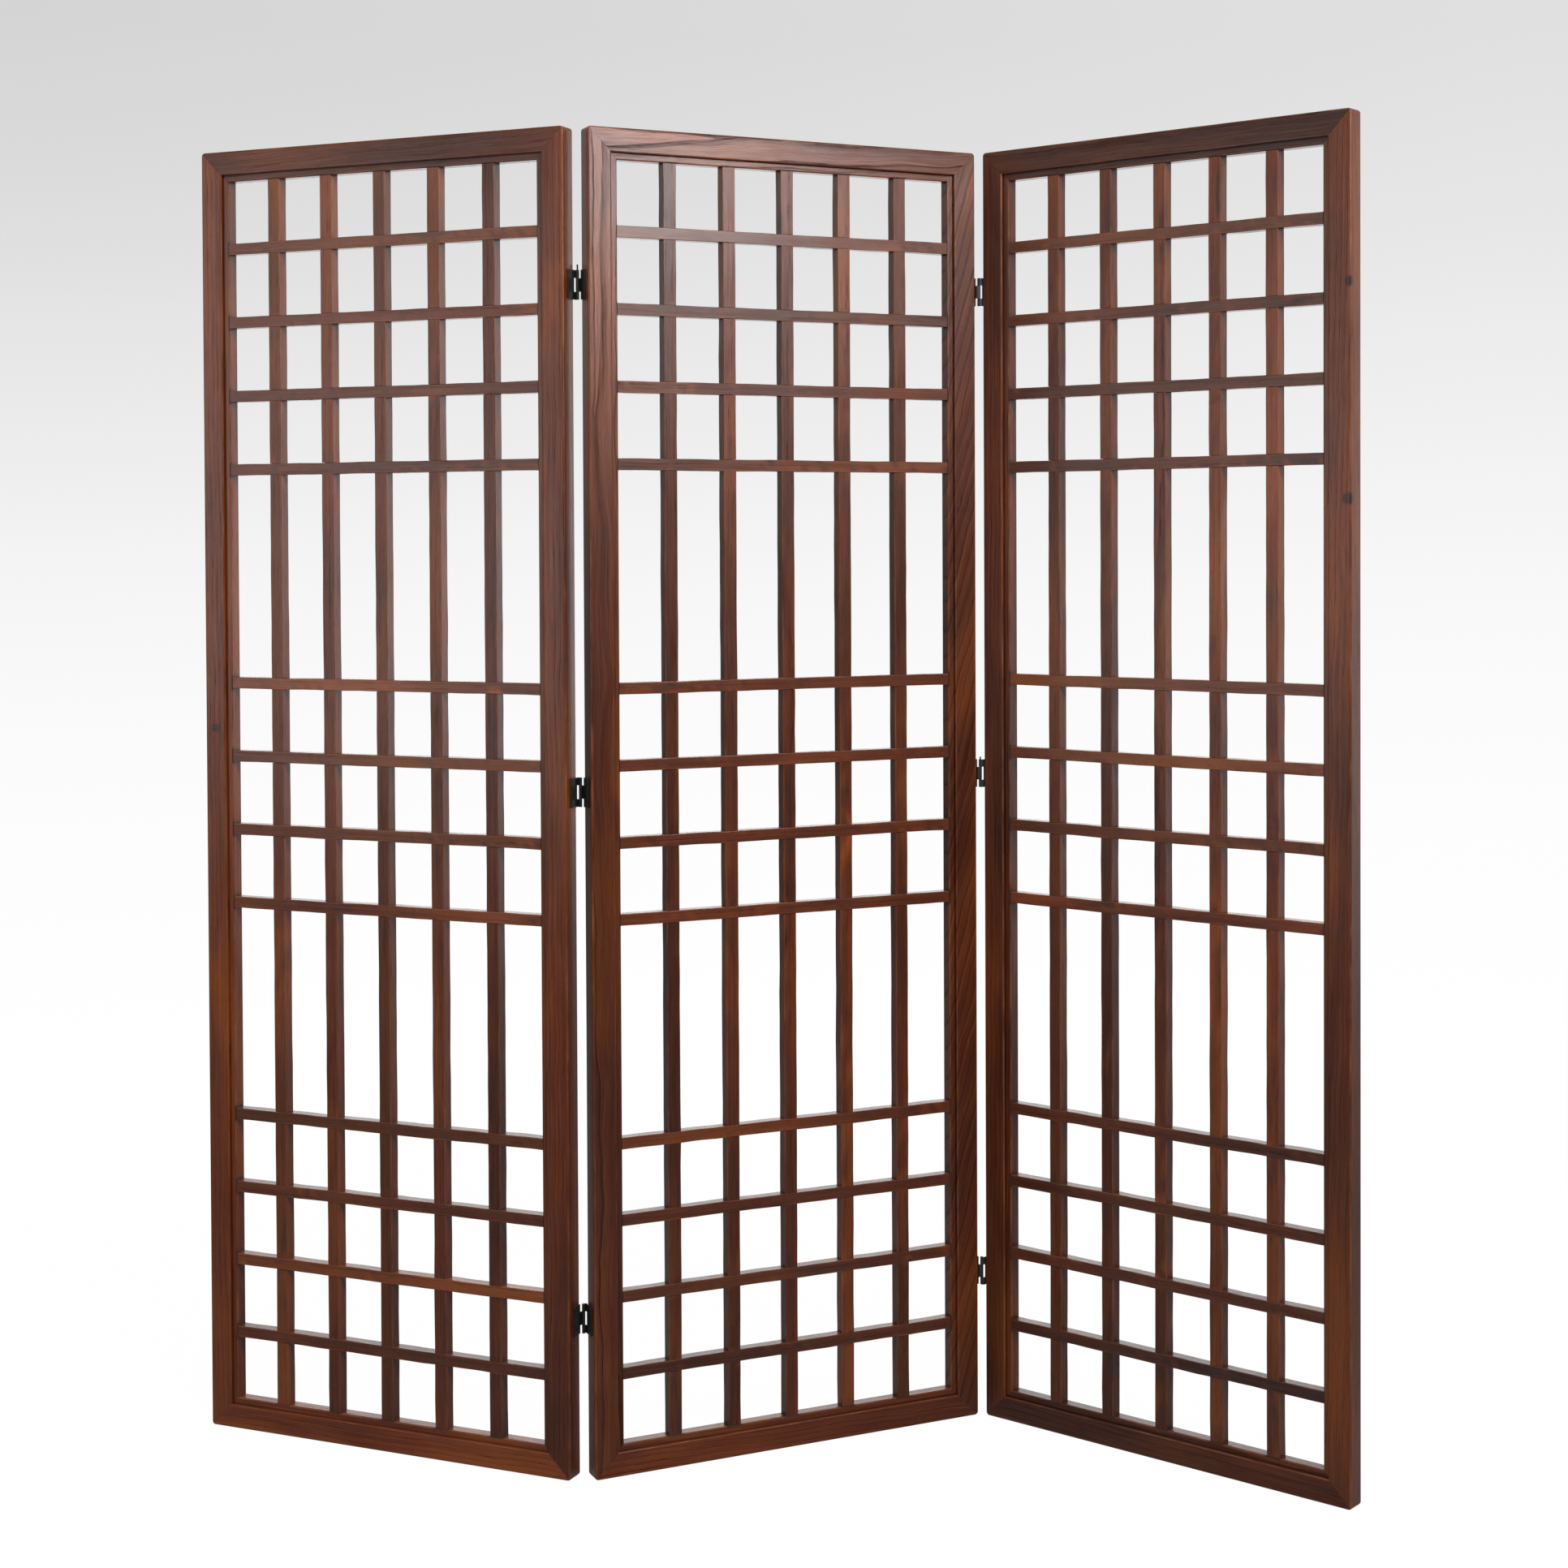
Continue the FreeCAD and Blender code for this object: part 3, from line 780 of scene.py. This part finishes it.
def makeBars(panel, kind, crossing, seed, material, toPanel):
    bars = latticeBars[kind]
    others = latticeBars[crossing]
    name = panel + kind.capitalize()
    values = {
        "Bar Width": bars["width"],
        "Bar Depth": latticeBars["depth"],
        "Bar Length": bars["length"],
        "Arris Radius": latticeBars["arris"],
        "Crossing Width": others["width"],
        "Lap Ease": latticeBars["lapEase"],
        "Cut Span": others["length"],
        "Unevenness": latticeBars["unevenness"],
        "Seed": seed,
        "Material": material,
    }
    spacings = {"Rows": "rows", "Row Step": "rowStep", "Groups": "groups", "Group Step": "groupStep"}
    for title, key in spacings.items():
        values[title] = bars[key]
        values["Crossing " + title] = others[key]
    mesh = growTree(name, barTree, values)
    finishMesh(mesh, material, 20.0)
    mesh.polygons.foreach_set("use_smooth", [False] * len(mesh.polygons))
    mesh.transform(panelPlace(panel) @ toPanel)
    return makeObject(name, mesh)


middleHeight = Matrix.Translation((0.0, 0.0, latticeBars["middleHeight"]))
uprightTurn = middleHeight @ Matrix(((0, 1, 0, 0), (0, 0, 1, 0), (1, 0, 0, 0), (0, 0, 0, 1)))
crossbarTurn = middleHeight @ Matrix(((1, 0, 0, 0), (0, 0, -1, 0), (0, 1, 0, 0), (0, 0, 0, 1)))
for panel in panelNames:
    uprightSeed, crossbarSeed = latticeBars["seeds"][panel]
    uprights = makeBars(panel, "uprights", "crossbars", uprightSeed, uprightWood, uprightTurn)
    uprightNodes = [f"{panel}_panel_upright_{number}" for number in range(1, 6)]
    addPiece(uprights, panel + "_panel", "stained_wood_lattice", *uprightNodes)
    crossbars = makeBars(panel, "crossbars", "uprights", crossbarSeed, crossbarWood, crossbarTurn)
    crossbarNodes = [f"{panel}_panel_{group}_crossbars" for group in ("top", "middle", "bottom")]
    addPiece(crossbars, panel + "_panel", "stained_wood_lattice", *crossbarNodes)
print("lattice bars made")

# Butt hinges: a flat leaf on each stile's edge, and its strap rolled round the pin
hinge = {
    "halfGap": 0.0048,
    "length": 0.040,
    "leafThickness": 0.0014,
    "leafReach": 0.020,
    "leafSetback": 0.0032,
    "barrelRadius": 0.0023,
    "rollThickness": 0.00115,
    "endKnuckle": 0.0106,
    "knuckleGap": 0.0003,
    "cornerRound": 0.0012,
    "screwSpread": 0.024,
    "screwFromAxis": 0.0125,
    "screwHeadRadius": 0.0024,
    "screwRadius": 0.0012,
    "screwLength": 0.016,
    "screwSides": 28,
    "shankSides": 16,
    "headStandsIn": 0.00012,
    "recess": (0.0026, 0.00055, 0.0007),
    "rimEase": 0.00018,
    "left": {"top": (1.619, -1), "middle": (0.932, -1), "bottom": (0.214, 1)},
    "right": {"top": (1.630, 1), "middle": (0.935, 1), "bottom": (0.211, 1)},
}


rustColour = (0.045, 0.022, 0.012)


def makeBlackMetal(name, colour, roughness, metallic):
    material, tree = newMaterial(name)
    place = objectPlace(tree)
    mottle = noise(tree, place, (90.0, 90.0, 90.0), 4.0, 0.6)
    pitting = noise(tree, place, (1100.0, 1100.0, 1100.0), 2.0, 0.6)
    rust = mapRange(tree, noise(tree, place, (210.0, 210.0, 210.0), 5.0, 0.7), 0.60, 0.74, 0.0, 0.45)
    darker, lighter = (opaque([part * share for part in colour]) for share in (0.6, 1.7))
    shade = mixColour(tree, rust, mixColour(tree, mottle, darker, lighter), opaque(rustColour))
    height = timesPlus(tree, pitting, 0.5, mottle)
    bump = shading(tree, "Bump", {"Strength": 0.5, "Distance": 0.0002, "Height": height})
    surface = shading(tree, "BsdfPrincipled", {
        "Base Color": shade,
        "Metallic": metallic,
        "Roughness": timesPlus(tree, mottle, 0.25, roughness),
        "Normal": bump,
    })
    finishMaterial(tree, surface)
    return material


hingeBlack = makeBlackMetal("blackHingeMetal", (0.008, 0.0075, 0.007), 0.42, 0.0)
screwSteel = makeBlackMetal("darkScrewSteel", (0.060, 0.058, 0.056), 0.28, 0.85)


def rolledStrap():
    # the strap seen end on: down past the pin, round it, and closed on itself
    thick = hinge["leafThickness"] / 2.0
    thin = hinge["rollThickness"] / 2.0
    plateX = hinge["halfGap"] - thick
    ring = hinge["barrelRadius"] - thin
    bend = plateX - 0.0013
    line = [((plateX, hinge["leafSetback"]), (1.0, 0.0), thick)]
    for step in range(7):
        angle = math.radians(-15.0 * step)
        normal = (math.cos(angle), math.sin(angle))
        size = thick + (thin - thick) * step / 6.0
        centre = (0.0013, bend - ring)
        line.append(((centre[0] + bend * normal[0], centre[1] + bend * normal[1]), normal, size))
    for step in range(19):
        angle = math.radians(-90.0 - 275.0 * step / 18.0)
        normal = (math.cos(angle), math.sin(angle))
        line.append(((ring * normal[0], ring * normal[1]), normal, thin))
    outer = [(point[0] + normal[0] * size, point[1] + normal[1] * size) for point, normal, size in line]
    inner = [(point[0] - normal[0] * size, point[1] - normal[1] * size) for point, normal, size in line]
    return outer, inner


def makeLeaf(name, side, inward, isEnd):
    values = hinge
    work = bmesh.new()
    halfLength = values["length"] / 2.0
    plateX = values["halfGap"] - values["leafThickness"] / 2.0
    depth = values["leafReach"] - values["leafSetback"]
    place = Matrix.Translation((plateX, values["leafSetback"] + depth / 2.0, 0.0))
    size = Matrix.Diagonal((values["leafThickness"], depth, values["length"], 1.0))
    bmesh.ops.create_cube(work, size=1.0, matrix=place @ size)
    farCorners = [edge for edge in work.edges
                  if all(abs(abs(vertex.co.z) - halfLength) < 1e-6 for vertex in edge.verts)
                  and abs(edge.verts[0].co.x - edge.verts[1].co.x) > 1e-5 and edge.verts[0].co.y > 0.01]
    bevel = {"profile": 0.5, "affect": "EDGES"}
    bmesh.ops.bevel(work, geom=farCorners, offset=values["cornerRound"], segments=4, **bevel)
    rims = [edge for edge in work.edges if edge.calc_face_angle(0.0) > 1.2 and edge.verts[0].co.y > 0.0035]
    bmesh.ops.bevel(work, geom=rims, offset=values["rimEase"], segments=2, **bevel)
    gap = values["knuckleGap"]
    inside = halfLength - values["endKnuckle"]
    spans = [(-halfLength, -inside), (inside, halfLength)] if isEnd else [(gap - inside, inside - gap)]
    outer, inner = rolledStrap()
    for low, high in spans:
        rings = []
        for height in (low, high):
            rings.append(([work.verts.new((x, y, height)) for x, y in outer],
                          [work.verts.new((x, y, height)) for x, y in inner]))
        (lowOuter, lowInner), (highOuter, highInner) = rings
        last = len(outer) - 1
        for step in range(last):
            work.faces.new((lowOuter[step], lowOuter[step + 1], highOuter[step + 1], highOuter[step]))
            work.faces.new((lowInner[step + 1], lowInner[step], highInner[step], highInner[step + 1]))
            work.faces.new((lowOuter[step + 1], lowOuter[step], lowInner[step], lowInner[step + 1]))
            work.faces.new((highOuter[step], highOuter[step + 1], highInner[step + 1], highInner[step]))
        for step in (0, last):
            work.faces.new((lowOuter[step], highOuter[step], highInner[step], lowInner[step]))
    mirror = Matrix.Diagonal((side, inward, 1.0, 1.0))
    bmesh.ops.transform(work, matrix=mirror, verts=work.verts)
    bmesh.ops.recalc_face_normals(work, faces=work.faces)
    return countersink(name, meshFrom(work, name), side, inward)


def countersink(name, mesh, side, inward):
    values = hinge
    cut = bmesh.new()
    for offset in (-0.5, 0.5):
        toWood = Matrix.Rotation(math.radians(90.0) * side, 4, "Y")
        middle = Vector((side * (values["halfGap"] - values["leafThickness"] / 2.0),
                         inward * values["screwFromAxis"], offset * values["screwSpread"]))
        bmesh.ops.create_cone(cut, cap_ends=True, segments=values["screwSides"],
                              radius1=values["screwHeadRadius"] + 0.00021,
                              radius2=values["screwRadius"] - 0.00005, depth=values["leafThickness"] + 0.0003,
                              matrix=Matrix.Translation(middle) @ toWood)
    leaf = makeObject(name, mesh)
    cutter = makeObject(name + "Cutter", meshFrom(cut, name + "Cut"))
    modifier = leaf.modifiers.new("countersink", "BOOLEAN")
    modifier.object = cutter
    modifier.solver = "EXACT"
    graph = bpy.context.evaluated_depsgraph_get()
    finished = bpy.data.meshes.new_from_object(leaf.evaluated_get(graph), depsgraph=graph)
    leaf.modifiers.remove(modifier)
    bpy.data.objects.remove(cutter)
    leaf.data = finished
    finishMesh(finished, hingeBlack, 35.0)
    return leaf


def buildScrewTree():
    floats = ("Head Radius", "Shank Radius", "Length", "Head Depth", "Recess Length", "Recess Width",
              "Recess Depth", "Side")
    tree, given = newTree("countersunkScrews", floats, ("Seed",))
    length = given["Length"]
    head = geometry(tree, "MeshCone", {
        "Vertices": hinge["screwSides"],
        "Side Segments": 1,
        "Radius Top": given["Shank Radius"],
        "Radius Bottom": given["Head Radius"],
        "Depth": given["Head Depth"],
    })
    cut = addNode(tree, "GeometryNodeMeshBoolean", {0: head}, operation="DIFFERENCE", solver="EXACT")
    for wide, tall in (("Recess Length", "Recess Width"), ("Recess Width", "Recess Length")):
        size = vectorOf(tree, X=given[wide], Y=given[tall], Z=times(tree, given["Recess Depth"], 2.0))
        tree.links.new(geometry(tree, "MeshCube", {"Size": size}), cut.inputs[1])
    shank = geometry(tree, "MeshCylinder", {
        "Vertices": hinge["shankSides"],
        "Radius": given["Shank Radius"],
        "Depth": times(tree, length, 0.7),
    })
    tip = geometry(tree, "MeshCone", {
        "Vertices": hinge["shankSides"],
        "Radius Top": 0.0002,
        "Radius Bottom": given["Shank Radius"],
        "Depth": times(tree, length, 0.2),
    })
    joined = addNode(tree, "GeometryNodeJoinGeometry")
    tree.links.new(cut.outputs[0], joined.inputs[0])
    for shape, share in ((shank, 0.44), (tip, 0.79)):
        lift = vectorOf(tree, Z=times(tree, length, share))
        moved = geometry(tree, "Transform", {"Geometry": shape, "Translation": lift})
        tree.links.new(moved, joined.inputs[0])
    spin = vectorOf(tree, Z=times(tree, randomOf(tree, given["Seed"]), 6.283))
    lean = vectorOf(tree, Y=times(tree, given["Side"], 1.5708))
    spread = copies(tree, given["Geometry"], joined.outputs[0], Rotation=lean)
    spun = geometry(tree, "RotateInstances", {"Instances": spread, "Rotation": spin})
    dressAndEnd(tree, realized(tree, spun), given["Material"])
    return tree


screwTree = buildScrewTree()


def makeScrews(name, fold, side, inward, seed):
    points = bpy.data.meshes.new(name + "Points")
    places = []
    headX = side * (hinge["halfGap"] - hinge["leafThickness"] + hinge["headStandsIn"])
    recessLength, recessWidth, recessDepth = hinge["recess"]
    for height, _ in hinge[fold].values():
        for offset in (-0.5, 0.5):
            places.append(axisPoint(fold, height + offset * hinge["screwSpread"])
                          + Vector((headX, inward * hinge["screwFromAxis"], 0.0)))
    points.from_pydata([tuple(place) for place in places], [], [])
    mesh = growTree(name, screwTree, {
        "Head Radius": hinge["screwHeadRadius"],
        "Shank Radius": hinge["screwRadius"],
        "Length": hinge["screwLength"],
        "Head Depth": hinge["leafThickness"],
        "Recess Length": recessLength,
        "Recess Width": recessWidth,
        "Recess Depth": recessDepth,
        "Side": side,
        "Seed": seed,
        "Material": screwSteel,
    }, points)
    finishMesh(mesh, screwSteel, 35.0)
    return makeObject(name, mesh)


# side, way in from the axis, body and screw node of each fold's two rows of leaves
leafRows = {
    ("left", "left"): (-1.0, -1.0, "left_panel", "left_panel_screws"),
    ("left", "right"): (1.0, -1.0, "middle_panel", "middle_panel_left_screws"),
    ("right", "left"): (-1.0, 1.0, "middle_panel", "middle_panel_right_screws"),
    ("right", "right"): (1.0, 1.0, "right_panel", "right_panel_screws"),
}
for number, ((fold, hand), (side, inward, body, screwNode)) in enumerate(leafRows.items()):
    isTurned = body != "middle_panel"
    for spot, (height, endSide) in hinge[fold].items():
        name = f"{fold}Fold{spot.capitalize()}Hinge{hand.capitalize()}Leaf"
        leaf = makeLeaf(name, side, inward, endSide == side)
        leaf.data.transform(Matrix.Translation(axisPoint(fold, height)))
        if isTurned:
            leaf.data.transform(turnAbout(fold))
        addPiece(leaf, body, "black_hinge_metal", f"{fold}_fold_{spot}_hinge_{hand}_leaf")
    screws = makeScrews(f"{fold}Fold{hand.capitalize()}Screws", fold, side, inward, 5 + number)
    if isTurned:
        screws.data.transform(turnAbout(fold))
    addPiece(screws, body, "screw_steel", screwNode)
for name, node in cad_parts.items():
    if name.endswith("hinge_pin"):
        node.data.materials.clear()
        node.data.materials.append(hingeBlack)
print("hinges and screws made")

# Floor, background, lamps and camera
studio = {
    "floorRadius": 4.2,
    "floorColour": (0.42, 0.42, 0.42),
    "floorSeen": (0.90, 0.90, 0.90),
    "floorWhite": 0.955,
    "ambient": (0.20, 0.20, 0.21),
    "backgroundSteps": [
        (-0.054, 0.000), (0.010, 0.001), (0.074, 0.007), (0.140, 0.015), (0.207, 0.020),
        (0.275, 0.038), (0.343, 0.061), (0.412, 0.084), (0.482, 0.125), (0.551, 0.166),
        (0.621, 0.204), (0.690, 0.249), (0.759, 0.288), (0.827, 0.317), (0.894, 0.340),
    ],
    "lowDirection": -0.196,
    "directionSpan": 0.439,
    "brightSide": (0.8967, -0.4427, 0.0),
    "mirrorSide": (0.90, 0.43, 0.0),
    "mirrorLow": 0.05,
    "floorGlow": 1.02,
    "floorMirrored": 0.12,
    "floorDrop": 0.0004,
}


def mixShaders(tree, share, first, second):
    return shading(tree, "MixShader", {0: share, 1: first, 2: second})


def makeFloor():
    work = bmesh.new()
    drop = Matrix.Translation((0.0, 0.0, -studio["floorDrop"]))
    bmesh.ops.create_circle(work, cap_ends=True, segments=96, radius=studio["floorRadius"], matrix=drop)
    mesh = meshFrom(work, "studioFloor")
    material, tree = newMaterial("paleFloor")
    reach = vectorCalc(tree, "LENGTH", objectPlace(tree), output="Value")
    fade = mapRange(tree, reach, 1.1, studio["floorRadius"] * 0.95)
    path = addNode(tree, "ShaderNodeLightPath").outputs
    mirrored = times(tree, path["Is Glossy Ray"], studio["floorMirrored"])
    seen = calc(tree, "MAXIMUM", path["Is Camera Ray"], mirrored)
    seen = calc(tree, "MAXIMUM", seen, path["Is Transmission Ray"])
    paint = mixColour(tree, seen, opaque(studio["floorColour"]), opaque(studio["floorSeen"]))
    matt = shading(tree, "BsdfDiffuse", {"Color": paint})
    bright = shading(tree, "Emission", {"Strength": studio["floorGlow"]})
    lit = mixShaders(tree, times(tree, seen, studio["floorWhite"]), matt, bright)
    clear = shading(tree, "BsdfTransparent")
    finishMaterial(tree, mixShaders(tree, times(tree, seen, fade), lit, clear))
    mesh.materials.append(material)
    floor = makeObject("studioFloor", mesh)


def makeWorld():
    world = bpy.data.worlds.new("studioWorld")
    bpy.context.scene.world = world
    world.use_nodes = True
    tree = world.node_tree
    tree.nodes.clear()
    direction = addNode(tree, "ShaderNodeTexCoord").outputs["Generated"]
    _, behindScreen, rise = partsOf(tree, direction)
    low = studio["lowDirection"]
    share = mapRange(tree, rise, low, low + studio["directionSpan"], smooth=False)
    dimming = ramp(tree, share, [(position, (level,) * 3) for position, level in studio["backgroundSteps"]])
    # the backdrop is lighter to one side, and its reflections are brightest to another and high behind
    sideways = vectorCalc(tree, "DOT_PRODUCT", direction, studio["brightSide"], output="Value")
    fade = mapRange(tree, sideways, -0.31, 0.24, 1.0, 0.745, smooth=False)
    level = calc(tree, "SUBTRACT", 1.0, times(tree, dimming, fade))
    path = addNode(tree, "ShaderNodeLightPath").outputs
    facing = vectorCalc(tree, "DOT_PRODUCT", direction, studio["mirrorSide"], output="Value")
    mirror = mapRange(tree, facing, 0.08, 0.60, studio["mirrorLow"], 1.0)
    upper = times(tree, mapRange(tree, rise, -0.05, 0.12), mapRange(tree, behindScreen, 0.2, 0.6))
    mirrored = times(tree, path["Is Glossy Ray"], calc(tree, "MAXIMUM", mirror, upper))
    seen = calc(tree, "MAXIMUM", path["Is Camera Ray"], path["Is Transmission Ray"])
    seen = calc(tree, "MAXIMUM", seen, mirrored)
    dimmed = timesPlus(tree, path["Is Glossy Ray"], -0.65, 1.0)
    ambient = {"Color": opaque(studio["ambient"]), "Strength": dimmed}
    around = shading(tree, "Background", ambient)
    behind = shading(tree, "Background", {"Color": greyOf(tree, level)})
    addNode(tree, "ShaderNodeOutputWorld", {"Surface": mixShaders(tree, seen, around, behind)})


# each lamp's place, what it points at, its size, its power and its spread in degrees
lamps = {
    "frontSoftbox": ((1.12, -3.6, 2.57), (-0.2, 0.0, 1.96), (0.92, 0.7), 19.0, 84.0),
    "leftSoftbox": ((-3.6, -0.2, 1.57), (0.0, 0.0, 1.42), (1.8, 1.9), 9.2, 100.0),
    "rightSoftbox": ((3.8, 0.9, 1.62), (0.0, 0.2, 1.2), (1.5, 2.2), 10.0, 120.0),
    "highSoftbox": ((-0.7, -2.4, 3.7), (0.0, 0.0, 0.8), (2.6, 1.8), 105.0, 180.0),
    "backSoftbox": ((1.7, 3.7, 1.5), (0.3, 0.0, 1.0), (3.4, 1.2), 28.0, 180.0),
}


def makeLamps():
    for name, (place, aim, size, power, spread) in lamps.items():
        lamp = bpy.data.lights.new(name, "AREA")
        lamp.shape = "RECTANGLE"
        lamp.size, lamp.size_y = size
        lamp.energy = power
        lamp.spread = math.radians(spread)
        holder = bpy.data.objects.new(name, lamp)
        holder.location = place
        direction = Vector(aim) - Vector(place)
        holder.rotation_euler = direction.to_track_quat("-Z", "Y").to_euler()
        holder.visible_camera = False
        bpy.context.scene.collection.objects.link(holder)


viewer = {
    "place": (-1.45655, -3.22474, 1.26454),
    "turn": -0.45073,
    "dip": 0.01858,
    "roll": 0.00398,
    "lens": 57.988,
    "shift": (-0.04399, -0.12185),
}


def makeCamera():
    turn = viewer["turn"]
    dip = viewer["dip"]
    level = Vector((math.cos(turn), math.sin(turn), 0.0))
    ahead = Vector((-math.sin(turn) * math.cos(dip), math.cos(turn) * math.cos(dip), -math.sin(dip)))
    upright = Vector((-math.sin(turn) * math.sin(dip), math.cos(turn) * math.sin(dip), math.cos(dip)))
    roll = viewer["roll"]
    right = level * math.cos(roll) - upright * math.sin(roll)
    above = level * math.sin(roll) + upright * math.cos(roll)
    camera = bpy.data.cameras.new("photographView")
    camera.sensor_width = 36.0
    camera.lens = viewer["lens"]
    camera.shift_x, camera.shift_y = viewer["shift"]
    camera.clip_start = 0.05
    holder = bpy.data.objects.new("photographView", camera)
    rows = [(right[axis], above[axis], -ahead[axis], viewer["place"][axis]) for axis in range(3)]
    holder.matrix_world = Matrix((*rows, (0.0, 0.0, 0.0, 1.0)))
    bpy.context.scene.collection.objects.link(holder)
    bpy.context.scene.camera = holder


makeFloor()
makeWorld()
makeLamps()
makeCamera()
bpy.context.scene.view_settings.view_transform = "Standard"
print("studio set")
